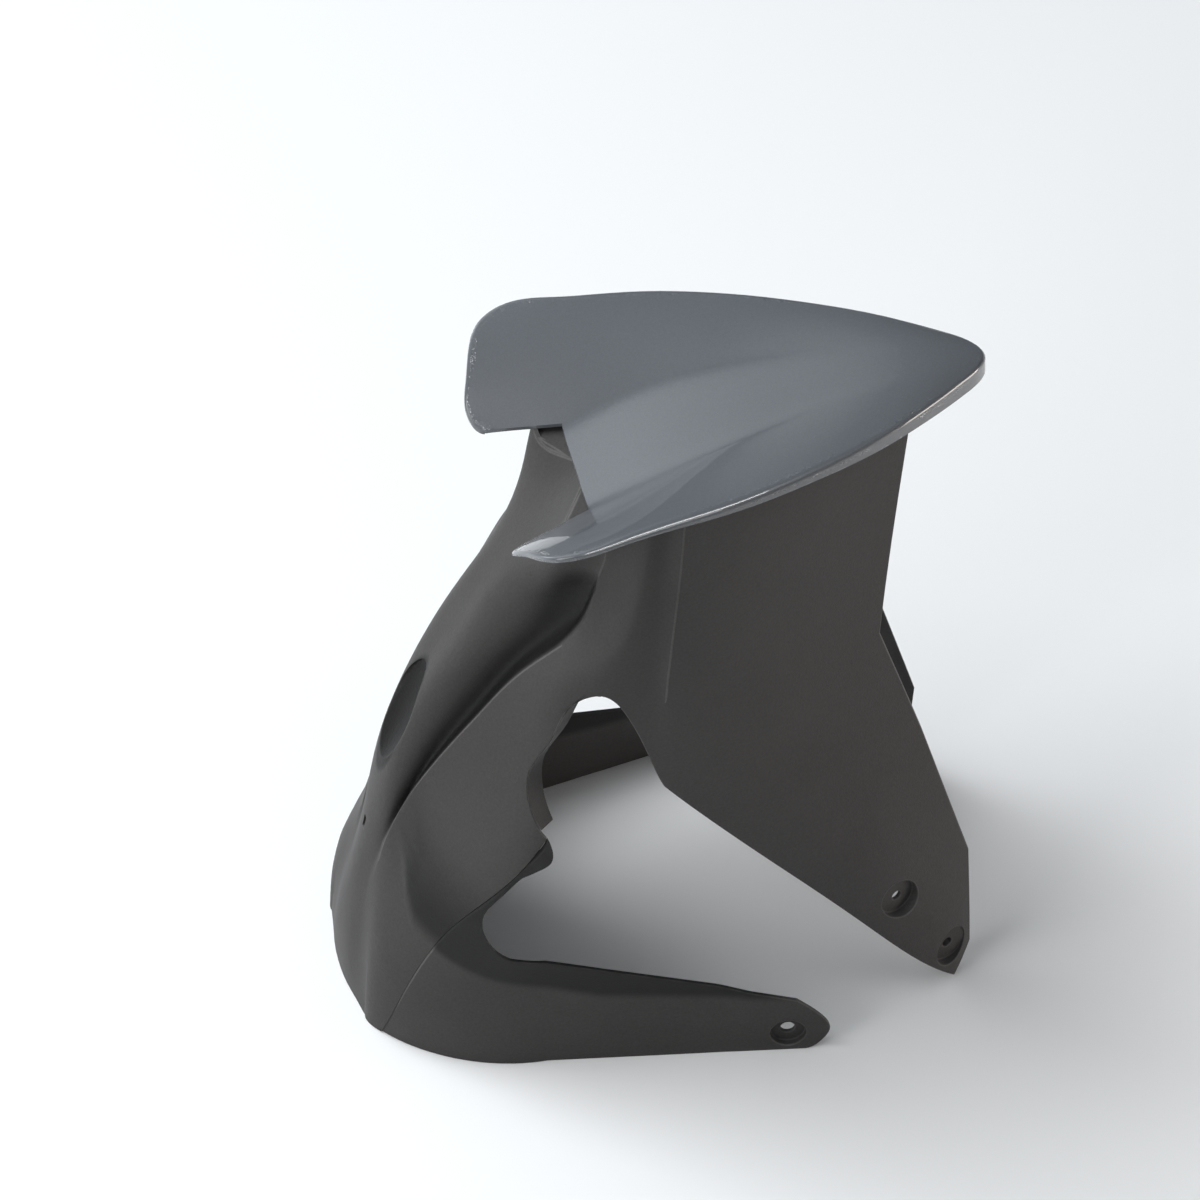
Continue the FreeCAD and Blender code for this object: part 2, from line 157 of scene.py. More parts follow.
# Lamps: name, place, width, height, power and colour
LAMPS = (
    ("key_lamp", (-1.3, 0.6, 2.5), 2.0, 2.0, 66.0, (0.95, 0.98, 1.0)),
    ("far_lamp", (-1.8, 1.7, 0.9), 1.0, 1.0, 9.0, (0.88, 0.94, 1.0)),
    ("rear_lamp", (-1.7, -0.9, 1.1), 1.0, 1.0, 13.0, (1.0, 0.99, 0.98)),
    ("front_fill", (1.2, -0.4, 0.1), 0.5, 0.5, 7.0, (1.0, 0.92, 0.86)),
    ("rim_strip", (0.3, -1.5, 1.9), 2.0, 0.45, 40.0, (1.0, 1.0, 1.0)),
    ("lower_strip", (0.2, -2.2, 1.2), 2.0, 0.25, 14.0, (1.0, 1.0, 1.0)),
)
LAMP_AIM = (0.0, 0.0, 0.25)

# Lamps that gloss doesn't mirror, and lamps that only gloss mirrors
UNMIRRORED_LAMPS = ("key_lamp",)
MIRRORED_LAMPS = ("rim_strip", "lower_strip")

# Studio round the object: light at the horizon and at the top, and a soft glow with its direction and start
SKY_LOW = (0.04, 0.04, 0.042)
SKY_TOP = (0.3, 0.32, 0.34)
GLOW = (0.95, 0.98, 1.0)
GLOW_TOWARDS = (-0.47, 0.66, 0.58)
GLOW_START = 0.78

# Floor: its size, and its colour to the light that it throws back on the object
FLOOR_SIZE = 30.0
FLOOR_BOUNCE = (0.42, 0.4, 0.38)

# Camera: sensor width in millimetres, and how far it sees
SENSOR = 36.0
FARTHEST = 100.0


# Settings that a user would change

class MudguardPlastic(bpy.types.PropertyGroup):
    """Textured black plastic of the body and the stays"""

    colour: bpy.props.FloatVectorProperty(
        name="Colour", description="Black of the moulded plastic", subtype="COLOR", size=3,
        min=0.0, max=1.0, default=(0.047, 0.045, 0.044))
    pale: bpy.props.FloatVectorProperty(
        name="Worn colour", description="Paler grey of the rubbed grain", subtype="COLOR", size=3,
        min=0.0, max=1.0, default=(0.068, 0.065, 0.064))
    roughness: bpy.props.FloatProperty(
        name="Roughness", description="Mean roughness of the satin surface", min=0.0, max=1.0, default=0.52)
    grain: bpy.props.FloatProperty(
        name="Grain size", description="Width of one cell of the moulded grain", subtype="DISTANCE",
        unit="LENGTH", min=0.0002, max=0.01, default=0.0011)
    grain_deep: bpy.props.FloatProperty(
        name="Grain depth", description="Height of the moulded grain", subtype="DISTANCE",
        unit="LENGTH", min=0.0, max=0.002, default=0.00012)
    # Paler colour on the rounded edges: partly worn grain, partly a painted edge highlight
    edge_wear_and_highlight: bpy.props.FloatProperty(
        name="Rubbed edges", description="How much paler the rubbed edges are", min=1.0, max=5.0, default=1.6)
    edge: bpy.props.FloatProperty(
        name="Edge rounding", description="Width of the rounding on the moulding's edges", subtype="DISTANCE",
        unit="LENGTH", min=0.0, max=0.003, default=0.0007)
    scoop: bpy.props.FloatProperty(
        name="Scoop depth", description="How much deeper the flank scoops are pressed in", subtype="DISTANCE",
        unit="LENGTH", min=0.0, max=0.008, default=0.005)
    fold: bpy.props.FloatProperty(
        name="Fold depth", description="Depth of the fold round the lower flank and the stay",
        subtype="DISTANCE", unit="LENGTH", min=0.0, max=0.006, default=0.003)
    # Painted shade: share of the colour kept where the scoops, the band over the fold and the crown hollow
    # are darkened for the shade in them
    painted_shade: bpy.props.FloatProperty(
        name="Sheltered shade", description="Share of the colour left where the moulding has not faded",
        min=0.0, max=1.0, default=0.16)


class MudguardPaint(bpy.types.PropertyGroup):
    """Gloss paint of the top cover"""

    colour: bpy.props.FloatVectorProperty(
        name="Colour", description="Grey of the paint", subtype="COLOR", size=3,
        min=0.0, max=1.0, default=(0.098, 0.107, 0.119))
    flake: bpy.props.FloatProperty(
        name="Flake size", description="Width of one flake in the paint", subtype="DISTANCE",
        unit="LENGTH", min=0.0001, max=0.005, default=0.0005)
    roughness: bpy.props.FloatProperty(
        name="Roughness", description="Roughness of the paint below its clear coat",
        min=0.0, max=1.0, default=0.38)
    rim: bpy.props.FloatProperty(
        name="Rim radius", description="Radius of the rolled outer rim", subtype="DISTANCE",
        unit="LENGTH", min=0.0, max=0.006, default=0.0042)
    tail_rim: bpy.props.FloatProperty(
        name="Tail rim radius", description="Radius of the rolled rim at the thin tails", subtype="DISTANCE",
        unit="LENGTH", min=0.0, max=0.006, default=0.0022)


class MudguardScrew(bpy.types.PropertyGroup):
    """Cover screws below the roof"""

    cross: bpy.props.FloatProperty(
        name="Cross", description="Length of the driver's cross in a head", subtype="DISTANCE",
        unit="LENGTH", min=0.001, max=0.01, default=0.0062)
    arm: bpy.props.FloatProperty(
        name="Arm", description="Width of one arm of the cross", subtype="DISTANCE",
        unit="LENGTH", min=0.0005, max=0.003, default=0.0013)
    deep: bpy.props.FloatProperty(
        name="Depth", description="Depth of the cross", subtype="DISTANCE",
        unit="LENGTH", min=0.0005, max=0.003, default=0.0018)
    edge: bpy.props.FloatProperty(
        name="Edge rounding", description="Width of the rounding on the head's edge", subtype="DISTANCE",
        unit="LENGTH", min=0.0, max=0.0015, default=0.0006)


class MudguardStage(bpy.types.PropertyGroup):
    """Floor, light and camera"""

    floor: bpy.props.FloatVectorProperty(
        name="Floor", description="Colour of the floor", subtype="COLOR", size=3,
        min=0.0, max=1.0, default=(0.9, 0.9, 0.9))
    azimuth: bpy.props.FloatProperty(
        name="Camera azimuth", description="Turn of the camera round the upright", subtype="ANGLE",
        unit="ROTATION", default=radians(-13.5))
    elevation: bpy.props.FloatProperty(
        name="Camera elevation", description="Height of the camera above the horizon", subtype="ANGLE",
        unit="ROTATION", default=radians(47.0))
    distance: bpy.props.FloatProperty(
        name="Camera distance", description="From the camera to the point it looks at", subtype="DISTANCE",
        unit="LENGTH", min=1.0, default=20.0)
    width: bpy.props.FloatProperty(
        name="View width", description="Width of the view at the point it looks at", subtype="DISTANCE",
        unit="LENGTH", min=0.1, default=0.72)
    aim: bpy.props.FloatVectorProperty(
        name="Aim", description="Point that the camera looks at", subtype="XYZ", unit="LENGTH", size=3,
        default=(-0.0372, 0.0, 0.283))


class MudguardSettings(bpy.types.PropertyGroup):
    """All settings of the mudguard"""

    plastic: bpy.props.PointerProperty(type=MudguardPlastic)
    paint: bpy.props.PointerProperty(type=MudguardPaint)
    screw: bpy.props.PointerProperty(type=MudguardScrew)
    stage: bpy.props.PointerProperty(type=MudguardStage)


# Node helpers

def new_material(name):
    material = bpy.data.materials.new(name)
    material.use_nodes = True
    tree = material.node_tree
    shader = tree.nodes["Principled BSDF"]
    return material, tree, shader


def material_named(name, make):
    found = bpy.data.materials.get(name)
    return found if found else make()


def add_node(tree, kind, **inputs):
    node = tree.nodes.new(kind)
    for name, value in inputs.items():
        node.inputs[name.replace("_", " ")].default_value = value
    return node


def follow_object(tree, *textures):
    place = tree.nodes.new("ShaderNodeTexCoord").outputs["Object"]
    for texture in textures:
        tree.links.new(place, texture.inputs["Vector"])


def ramp_between(tree, source, low, high, first, second):
    ramp = tree.nodes.new("ShaderNodeValToRGB")
    ramp.color_ramp.elements[0].position = low
    ramp.color_ramp.elements[1].position = high
    ramp.color_ramp.elements[0].color = (*first, 1.0)
    ramp.color_ramp.elements[1].color = (*second, 1.0)
    tree.links.new(source, ramp.inputs["Fac"])
    return ramp.outputs["Color"]


def range_between(tree, source, low, high):
    node = tree.nodes.new("ShaderNodeMapRange")
    node.inputs["To Min"].default_value = low
    node.inputs["To Max"].default_value = high
    tree.links.new(source, node.inputs["Value"])
    return node.outputs["Result"]


def share_added(tree, source, share, rest):
    # a share of one value, added to another value
    node = tree.nodes.new("ShaderNodeMath")
    node.operation = "MULTIPLY_ADD"
    node.inputs[1].default_value = share
    tree.links.new(source, node.inputs[0])
    tree.links.new(rest, node.inputs[2])
    return node.outputs["Value"]


def colour_mix(tree, blend, first):
    # mixing node with its first colour linked
    node = tree.nodes.new("ShaderNodeMix")
    node.data_type = "RGBA"
    node.blend_type = blend
    tree.links.new(first, node.inputs["A"])
    return node


def choose_between(tree, share, first, second, end):
    # first shader where the share is nothing, second shader where it is one
    choose = tree.nodes.new("ShaderNodeMixShader")
    tree.links.new(share, choose.inputs["Fac"])
    tree.links.new(first, choose.inputs[1])
    tree.links.new(second, choose.inputs[2])
    tree.links.new(choose.outputs["Shader"], tree.nodes[end].inputs["Surface"])


# Finishes

def textured_plastic(name, plastic, lift):
    material, tree, shader = new_material(name)
    cells = add_node(tree, "ShaderNodeTexVoronoi", Scale=1.0 / plastic.grain)
    speckle = add_node(tree, "ShaderNodeTexNoise", Scale=0.7 / plastic.grain, Detail=3.0)
    cloud = add_node(tree, "ShaderNodeTexNoise", Scale=14.0, Detail=4.0, Roughness=0.6)
    follow_object(tree, cells, speckle, cloud)
    drift = range_between(tree, cloud.outputs["Fac"], 0.0, 0.45)
    worn = share_added(tree, speckle.outputs["Fac"], 0.55, drift)
    dark = Vector(plastic.colour) * lift
    pale = Vector(plastic.pale) * lift
    # painted shade: the grain colour is multiplied down to the painted-shade share where the point attribute
    # marks the scoops, the band over the fold and the crown hollow
    painted_shade_mix = colour_mix(tree, "MULTIPLY", ramp_between(tree, worn, 0.3, 0.72, dark, pale))
    painted_shade_mix.inputs["B"].default_value = (plastic.painted_shade, plastic.painted_shade, plastic.painted_shade, 1.0)
    painted_shade = tree.nodes.new("ShaderNodeAttribute")
    painted_shade.attribute_name = "painted_shade"
    tree.links.new(painted_shade.outputs["Fac"], painted_shade_mix.inputs["Factor"])
    tree.links.new(painted_shade_mix.outputs["Result"], shader.inputs["Base Color"])
    rough = range_between(tree, cloud.outputs["Fac"], plastic.roughness - 0.08, plastic.roughness + 0.08)
    tree.links.new(rough, shader.inputs["Roughness"])
    bump = add_node(tree, "ShaderNodeBump", Strength=0.6, Distance=plastic.grain_deep)
    tree.links.new(cells.outputs["Distance"], bump.inputs["Height"])
    tree.links.new(bump.outputs["Normal"], shader.inputs["Normal"])
    shader.inputs["Specular IOR Level"].default_value = 0.25
    return material


def gloss_paint(paint):
    material, tree, shader = new_material("gloss_paint")
    flakes = add_node(tree, "ShaderNodeTexVoronoi", Scale=1.0 / paint.flake)
    cloud = add_node(tree, "ShaderNodeTexNoise", Scale=9.0, Detail=3.0)
    peel = add_node(tree, "ShaderNodeTexNoise", Scale=420.0, Detail=1.0)
    follow_object(tree, flakes, cloud, peel)
    split = tree.nodes.new("ShaderNodeSeparateColor")
    tree.links.new(flakes.outputs["Color"], split.inputs["Color"])
    drift = range_between(tree, cloud.outputs["Fac"], 0.0, 0.4)
    tint = share_added(tree, split.outputs["Red"], 0.6, drift)
    dark = Vector(paint.colour) * 0.9
    pale = Vector(paint.colour) * 1.12
    tree.links.new(ramp_between(tree, tint, 0.1, 0.9, dark, pale), shader.inputs["Base Color"])
    shader.inputs["Roughness"].default_value = paint.roughness
    shader.inputs["Coat Weight"].default_value = 1.0
    shader.inputs["Coat Roughness"].default_value = 0.025
    bump = add_node(tree, "ShaderNodeBump", Strength=0.12, Distance=0.00004)
    tree.links.new(peel.outputs["Fac"], bump.inputs["Height"])
    tree.links.new(bump.outputs["Normal"], shader.inputs["Coat Normal"])
    return material


def zinc_steel():
    material, tree, shader = new_material("zinc_steel")
    cloud = add_node(tree, "ShaderNodeTexNoise", Scale=600.0, Detail=4.0)
    follow_object(tree, cloud)
    colour = ramp_between(tree, cloud.outputs["Fac"], 0.3, 0.7, (0.42, 0.42, 0.43), (0.6, 0.6, 0.61))
    tree.links.new(colour, shader.inputs["Base Color"])
    tree.links.new(range_between(tree, cloud.outputs["Fac"], 0.25, 0.45), shader.inputs["Roughness"])
    shader.inputs["Metallic"].default_value = 1.0
    return material


# Mesh helpers

def deselect_all():
    bpy.ops.object.select_all(action="DESELECT")


def copy_of_node(node_name, piece_name):
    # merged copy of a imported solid, selected and active in object mode
    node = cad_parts[node_name]
    deselect_all()
    node.select_set(True)
    bpy.context.view_layer.objects.active = node
    bpy.ops.object.duplicate()
    piece = bpy.context.active_object
    piece.name = piece_name
    piece.data.materials.clear()
    bpy.ops.object.mode_set(mode="EDIT")
    bpy.ops.mesh.select_all(action="SELECT")
    bpy.ops.mesh.remove_doubles(threshold=MERGE)
    bpy.ops.mesh.dissolve_degenerate(threshold=MERGE)
    bpy.ops.object.mode_set(mode="OBJECT")
    return piece


def surface_of(piece):
    corners = [vertex.co.copy() for vertex in piece.data.vertices]
    return BVHTree.FromPolygons(corners, [tuple(face.vertices) for face in piece.data.polygons])


def pull_back_strays(piece, surface, reach):
    # points that the rounding threw clear of the moulding go back to its surface, and none below the floor
    for vertex in piece.data.vertices:
        place, _, _, distance = surface.find_nearest(vertex.co)
        if distance > reach:
            vertex.co = place
        vertex.co.z = max(vertex.co.z, 0.0)


def round_sharp_edges(piece, width, angle, segments):
    # rounds the active piece's sharp edges; the new faces take its second material
    surface = surface_of(piece)
    bpy.ops.object.mode_set(mode="EDIT")
    bpy.ops.mesh.select_mode(type="EDGE")
    bpy.ops.mesh.select_all(action="DESELECT")
    bpy.ops.mesh.edges_select_sharp(sharpness=radians(angle))
    bpy.ops.mesh.bevel(offset=width, segments=segments, affect="EDGES", clamp_overlap=False, material=1)
    bpy.ops.object.mode_set(mode="OBJECT")
    pull_back_strays(piece, surface, width * STRAY)


def smooth_rise(value, low, high):
    share = min(max((value - low) / (high - low), 0.0), 1.0)
    return share * share * (3.0 - 2.0 * share)


def smooth_fall(value, low, high):
    return 1.0 - smooth_rise(value, low, high)


def value_at(line, position):
    # height of a broken line at a position along it
    for (start, low), (end, high) in zip(line, line[1:]):
        if position <= end:
            return low + (high - low) * max(position - start, 0.0) / (end - start)
    return line[-1][1]


def refine(piece, longest_at, finest):
    # splits the edges that are longer than the length wanted where they run
    mesh = bmesh.new()
    mesh.from_mesh(piece.data)
    for _ in range(MESH_ROUNDS):
        too_long = []
        for edge in mesh.edges:
            length = edge.calc_length()
            if length < finest:
                continue
            first = edge.verts[0].co
            second = edge.verts[1].co
            shares = (0.5,) if length < 3.0 * finest else (0.0, 0.25, 0.5, 0.75, 1.0)
            if any(length > longest_at(first.lerp(second, share)) for share in shares):
                too_long.append(edge)
        if not too_long:
            break
        bmesh.ops.subdivide_edges(mesh, edges=too_long, cuts=1)
        bmesh.ops.triangulate(mesh, faces=[face for face in mesh.faces if len(face.verts) > 3])
    mesh.to_mesh(piece.data)
    mesh.free()


def finish_piece(piece, node_name, angle):
    # smooth shading that follows the large faces; edges sharper than the angle stay sharp
    bpy.ops.object.shade_smooth_by_angle(angle=radians(angle))
    bpy.ops.object.modifier_add(type="WEIGHTED_NORMAL")
    evened = piece.modifiers[-1]
    evened.mode = "FACE_AREA"
    evened.keep_sharp = True
    bpy.ops.object.modifier_apply(modifier=evened.name)
    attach(piece, "root")
    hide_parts(node_name)


# Scoops, fold and hollow of the plastic, with the shade painted into them

def scoop_share(place):
    # from nothing at the scoop's upper edge to one at its lower edge, or nothing outside it
    if place.x > SCOOP_FRONT or not SCOOP_HEIGHTS[0] < place.z < SCOOP_HEIGHTS[1]:
        return 0.0
    if not SCOOP_WIDTHS[0] < abs(place.y) < SCOOP_WIDTHS[1]:
        return 0.0
    top = value_at(SCOOP_TOP, place.z)
    low = value_at(SCOOP_LOW, place.z)
    share = (abs(place.y) - top) / (low - top)
    return share if 0.0 < share < 1.0 else 0.0


def scoop_ends(place):
    return smooth_rise(place.z, *SCOOP_LOW_END) * smooth_fall(place.z, *SCOOP_TOP_END)


def above_fold(place):
    turn = degrees(atan2(abs(place.y), FOLD_MIDDLE - place.x))
    return place.z - value_at(FOLD, turn)


def in_fold_zone(place):
    return place.z < FOLD_TOP and abs(place.y) > FOLD_NEAREST and place.x < FOLD_FRONT


def fold_ends(place):
    return smooth_rise(abs(place.y), *FOLD_BEGINS) * smooth_fall(place.x, *FOLD_RUNS_OUT)


def out_of_hollow(place):
    # nothing in the middle of the crown's hollow, one at its edge
    middle, long, wide = CROWN_HOLLOW
    if place.x > HOLLOW_FRONT:
        return inf
    return (place.y / wide) ** 2 + ((place.z - middle) / long) ** 2


def flank_length(place):
    # edge length wanted on the flanks, finest across the scoop's lower edge and along the fold
    wanted = inf
    share = scoop_share(place)
    if share > 0.0:
        wanted = SCOOP_MESH if share < SCOOP_SINKS[1] else FINEST_FLANK_MESH
    if in_fold_zone(place):
        away = abs(above_fold(place))
        if away < FOLD_MESH_REACH:
            wanted = min(wanted, FOLD_MESH + FOLD_MESH_GROWTH * away)
    if out_of_hollow(place) < HOLLOW_MESH_REACH:
        wanted = HOLLOW_MESH
    return wanted


def band_shade(place, over, faded_above):
    # painted shade in a band over the fold, which on the body fades out again higher up
    band = smooth_rise(over, *(BAND_LOW_ON_BODY if faded_above else BAND_LOW_ON_STAY))
    band *= smooth_rise(abs(place.y), *BAND_BEGINS)
    if faded_above:
        band *= smooth_fall(over, *BAND_TOP_ON_BODY)
    return band


def press_flanks(piece, plastic, faded_above):
    # presses the scoops and the fold into both flanks, and paints shade into the scoops, the band over the
    # fold and the crown hollow
    refine(piece, flank_length, FINEST_FLANK_MESH)
    # share of painted shade at each point of the flanks
    painted_shade = piece.data.attributes.new("painted_shade", "FLOAT", "POINT")
    forwards, sideways = SCOOP_PRESS
    for vertex in piece.data.vertices:
        place = vertex.co.copy()
        side = -1.0 if place.y < 0.0 else 1.0
        share = scoop_share(place)
        hollow = smooth_rise(share, *SCOOP_SINKS) * smooth_fall(share, *SCOOP_RISES) * scoop_ends(place)
        vertex.co += Vector((forwards, -sideways * side, 0.0)) * plastic.scoop * hollow
        # painted shade across the scoop
        dark = smooth_rise(share, *SHADE_COMES) * smooth_fall(share, *SHADE_GOES) * scoop_ends(place)
        if in_fold_zone(place):
            over = above_fold(place)
            valley = max(1.0 - abs(over) / FOLD_HALF_WIDTH, 0.0) * fold_ends(place)
            inward = Vector((max(FOLD_MIDDLE - place.x, 0.0), -place.y, 0.0)).normalized()
            vertex.co += inward * plastic.fold * valley
            # painted shade in the band over the fold
            dark = max(dark, band_shade(place, over, faded_above))
        # painted shade in the crown hollow, darkest in its middle
        dark = max(dark, smooth_fall(out_of_hollow(place), *HOLLOW_EDGE))
        painted_shade.data[vertex.index].value = dark


def coat_with_plastic(piece, plastic, faded_above):
    # textured plastic all over, with paler plastic on the rounded edges for worn grain and a painted edge
    # highlight
    face = material_named("textured_plastic", lambda: textured_plastic("textured_plastic", plastic, 1.0))
    edge = material_named("worn_and_highlit_plastic", lambda: textured_plastic("worn_and_highlit_plastic", plastic, plastic.edge_wear_and_highlight))
    piece.data.materials.append(face)
    piece.data.materials.append(edge)
    round_sharp_edges(piece, plastic.edge, PLASTIC_ROUNDED, 2)
    press_flanks(piece, plastic, faded_above)


# Rolled rim of the cover

def rim_radius(place, paint):
    return paint.tail_rim + (paint.rim - paint.tail_rim) * smooth_rise(place.x, *RIM_GROWS)


def outer_rim(piece):
    # points along the sharp outer edge of the cover's top, with the weighted normals of both sides
    mesh = bmesh.new()
    mesh.from_mesh(piece.data)
    places = []
    for edge in mesh.edges:
        if len(edge.link_faces) != 2 or edge.calc_face_angle(0.0) < RIM_ANGLE:
            continue
        side, top = sorted(edge.link_faces, key=lambda face: face.normal.z)
        top_area = top.calc_area()
        side_area = side.calc_area()
        if min(top_area, side_area) < RIM_LEAST_FACE:
            continue
        middle = edge.verts[0].co.lerp(edge.verts[1].co, 0.5)
        notch = middle.x < NOTCH_FRONT and abs(middle.y) < NOTCH_HALF_WIDTH
        tilted = top.normal.z < RIM_TOP_TILT or side.normal.z > RIM_SIDE_TILT
        if notch or tilted or not edge.is_convex:
            continue
        steps = max(int(edge.calc_length() / RIM_STEP), 1)
        for step in range(steps + 1):
            place = edge.verts[0].co.lerp(edge.verts[1].co, step / steps)
            places.append((place, top.normal * top_area, side.normal * side_area))
    mesh.free()
    return places


def even_out_rim(mesh, near):
    # merges and turns the thin triangles beside the rim
    zone = [vertex for vertex in mesh.verts if near.find(vertex.co)[2] < RIM_ZONE]
    bmesh.ops.remove_doubles(mesh, verts=zone, dist=RIM_MERGE)
    bmesh.ops.dissolve_degenerate(mesh, edges=mesh.edges, dist=RIM_LEAST_EDGE)
    bmesh.ops.triangulate(mesh, faces=[face for face in mesh.faces if len(face.verts) > 3])
    flat = [edge for edge in mesh.edges if edge.calc_face_angle(pi) < RIM_FLAT]
    flat = [edge for edge in flat if near.find(edge.verts[0].co)[2] < RIM_ZONE]
    beside = {face for edge in flat for face in edge.link_faces}
    bmesh.ops.beautify_fill(mesh, faces=list(beside), edges=flat)
    mesh.verts.index_update()


def roll_rim(piece, paint):
    # rolls the sharp outer rim over to a round one, and gives the round's normal at each point moved
    rim = outer_rim(piece)
    near = KDTree(len(rim))
    for index, point in enumerate(rim):
        near.insert(point[0], index)
    near.balance()

    def rim_length(place):
        away = near.find(place)[2]
        return inf if away > RIM_MESH_REACH else RIM_MESH + RIM_MESH_GROWTH * max(away - RIM_MESH_EVEN, 0.0)

    refine(piece, rim_length, RIM_MESH)
    mesh = bmesh.new()
    mesh.from_mesh(piece.data)
    even_out_rim(mesh, near)
    round_normals = {}
    for vertex in mesh.verts:
        place, _, away = near.find(vertex.co)
        radius = rim_radius(vertex.co, paint)
        if away > radius * RIM_REACH:
            continue
        found = near.find_n(vertex.co, RIM_POINTS)
        top = sum((rim[item[1]][1] for item in found), Vector()).normalized()
        side = sum((rim[item[1]][2] for item in found), Vector()).normalized()
        across = top.dot(side)
        centre = place - (top + side) * radius / (1.0 + across)
        along = top.cross(side).normalized()
        spoke = vertex.co - centre
        spoke -= along * spoke.dot(along)
        up = (spoke.dot(top) - across * spoke.dot(side)) / (1.0 - across * across)
        out = (spoke.dot(side) - across * spoke.dot(top)) / (1.0 - across * across)
        if up > 0.0 and out > 0.0 and spoke.length > radius:
            vertex.co += spoke * (radius / spoke.length - 1.0)
            round_normals[vertex.index] = spoke.normalized()
    mesh.to_mesh(piece.data)
    mesh.free()
    return round_normals


def keep_round_normals(piece, round_normals):
    # shades the rolled rim as the true round it stands for
    corners = [corner.vector.copy() for corner in piece.data.corner_normals]
    for loop in piece.data.loops:
        if loop.vertex_index in round_normals:
            corners[loop.index] = round_normals[loop.vertex_index]
    piece.data.normals_split_custom_set(corners)


# Heads of the screws

def screw_heads(piece):
    # middle and outward direction of each screw head's flat end
    heads = {}
    for face in piece.data.polygons:
        if face.normal.z < HEAD_DOWN:
            spot = (face.center.x > BETWEEN_PAIRS, face.center.y > 0.0)
            middle, outward, area = heads.get(spot, (Vector(), Vector(), 0.0))
            middle = middle + face.center * face.area
            outward = outward + face.normal * face.area
            heads[spot] = (middle, outward, area + face.area)
    return [(middle / area, outward.normalized()) for middle, outward, area in heads.values()]


def cut_cross(piece, place, outward, screw):
    # sinks a cross for the driver into one screw head
    tilt = atan2(outward.x, outward.z)
    for size in ((screw.cross, screw.arm), (screw.arm, screw.cross)):
        deselect_all()
        bpy.ops.mesh.primitive_cube_add(
            size=1.0, location=place, rotation=(0.0, tilt, 0.0), scale=(*size, 2.0 * screw.deep))
        cutter = bpy.context.active_object
        bpy.context.view_layer.objects.active = piece
        bpy.ops.object.modifier_add(type="BOOLEAN")
        cut = piece.modifiers[-1]
        cut.operation = "DIFFERENCE"
        cut.solver = "EXACT"
        cut.object = cutter
        bpy.ops.object.modifier_apply(modifier=cut.name)
        bpy.data.objects.remove(cutter)
    piece.select_set(True)


# Floor, light and camera

def seen_straight(tree):
    # one for rays from the camera and for mirror and glass rays, else nothing
    path = tree.nodes.new("ShaderNodeLightPath")
    total = path.outputs["Is Camera Ray"]
    for name in ("Is Glossy Ray", "Is Transmission Ray"):
        larger = tree.nodes.new("ShaderNodeMath")
        larger.operation = "MAXIMUM"
        tree.links.new(total, larger.inputs[0])
        tree.links.new(path.outputs[name], larger.inputs[1])
        total = larger.outputs["Value"]
    return total


def pale_floor(colour):
    # pale where it is seen, darker where it throws light back on the object
    material, tree, shader = new_material("pale_floor")
    shader.inputs["Base Color"].default_value = (*colour, 1.0)
    shader.inputs["Roughness"].default_value = 0.7
    shader.inputs["Specular IOR Level"].default_value = 0.2
    dim = add_node(tree, "ShaderNodeBsdfDiffuse", Color=(*FLOOR_BOUNCE, 1.0))
    seen = seen_straight(tree)
    choose_between(tree, seen, dim.outputs["BSDF"], shader.outputs["BSDF"], "Material Output")
    return material


def studio_world():
    # soft light that grows from the horizon to the top, with a soft glow behind; white to the camera
    world = bpy.data.worlds.new("studio")
    world.use_nodes = True
    tree = world.node_tree
    direction = tree.nodes.new("ShaderNodeTexCoord").outputs["Generated"]
    height = tree.nodes.new("ShaderNodeSeparateXYZ")
    tree.links.new(direction, height.inputs["Vector"])
    sky = ramp_between(tree, height.outputs["Z"], 0.0, 1.0, SKY_LOW, SKY_TOP)
    towards = tree.nodes.new("ShaderNodeVectorMath")
    towards.operation = "DOT_PRODUCT"
    towards.inputs[1].default_value = GLOW_TOWARDS
    tree.links.new(direction, towards.inputs[0])
    glow = ramp_between(tree, towards.outputs["Value"], GLOW_START, 1.0, (0.0, 0.0, 0.0), GLOW)
    both = colour_mix(tree, "ADD", sky)
    both.inputs["Factor"].default_value = 1.0
    tree.links.new(glow, both.inputs["B"])
    light = tree.nodes["Background"]
    tree.links.new(both.outputs["Result"], light.inputs["Color"])
    white = add_node(tree, "ShaderNodeBackground", Color=(1.0, 1.0, 1.0, 1.0))
    seen = tree.nodes.new("ShaderNodeLightPath").outputs["Is Camera Ray"]
    choose_between(tree, seen, light.outputs["Background"], white.outputs["Background"], "World Output")
    return world


def add_lamp(name, place, wide, tall, power, colour):
    deselect_all()
    bpy.ops.object.light_add(type="AREA", location=place)
    lamp = bpy.context.active_object
    lamp.name = name
    lamp.data.shape = "RECTANGLE"
    lamp.data.size = wide
    lamp.data.size_y = tall
    lamp.data.energy = power
    lamp.data.color = colour
    look = Vector(LAMP_AIM) - Vector(place)
    lamp.rotation_euler = look.to_track_quat("-Z", "Y").to_euler()
    lamp.visible_camera = False
    lamp.visible_glossy = name not in UNMIRRORED_LAMPS
    lamp.visible_diffuse = name not in MIRRORED_LAMPS


def add_camera(scene, stage):
    lens = bpy.data.cameras.new("photo_camera")
    camera = bpy.data.objects.new("photo_camera", lens)
    scene.collection.objects.link(camera)
    across = cos(stage.elevation)
    towards = Vector((sin(stage.azimuth) * across, -cos(stage.azimuth) * across, sin(stage.elevation)))
    camera.location = Vector(stage.aim) + towards * stage.distance
    camera.rotation_euler = (-towards).to_track_quat("-Z", "Y").to_euler()
    lens.sensor_width = SENSOR
    lens.lens = SENSOR * stage.distance / stage.width
    lens.clip_end = FARTHEST
    scene.camera = camera


# Pieces and stage

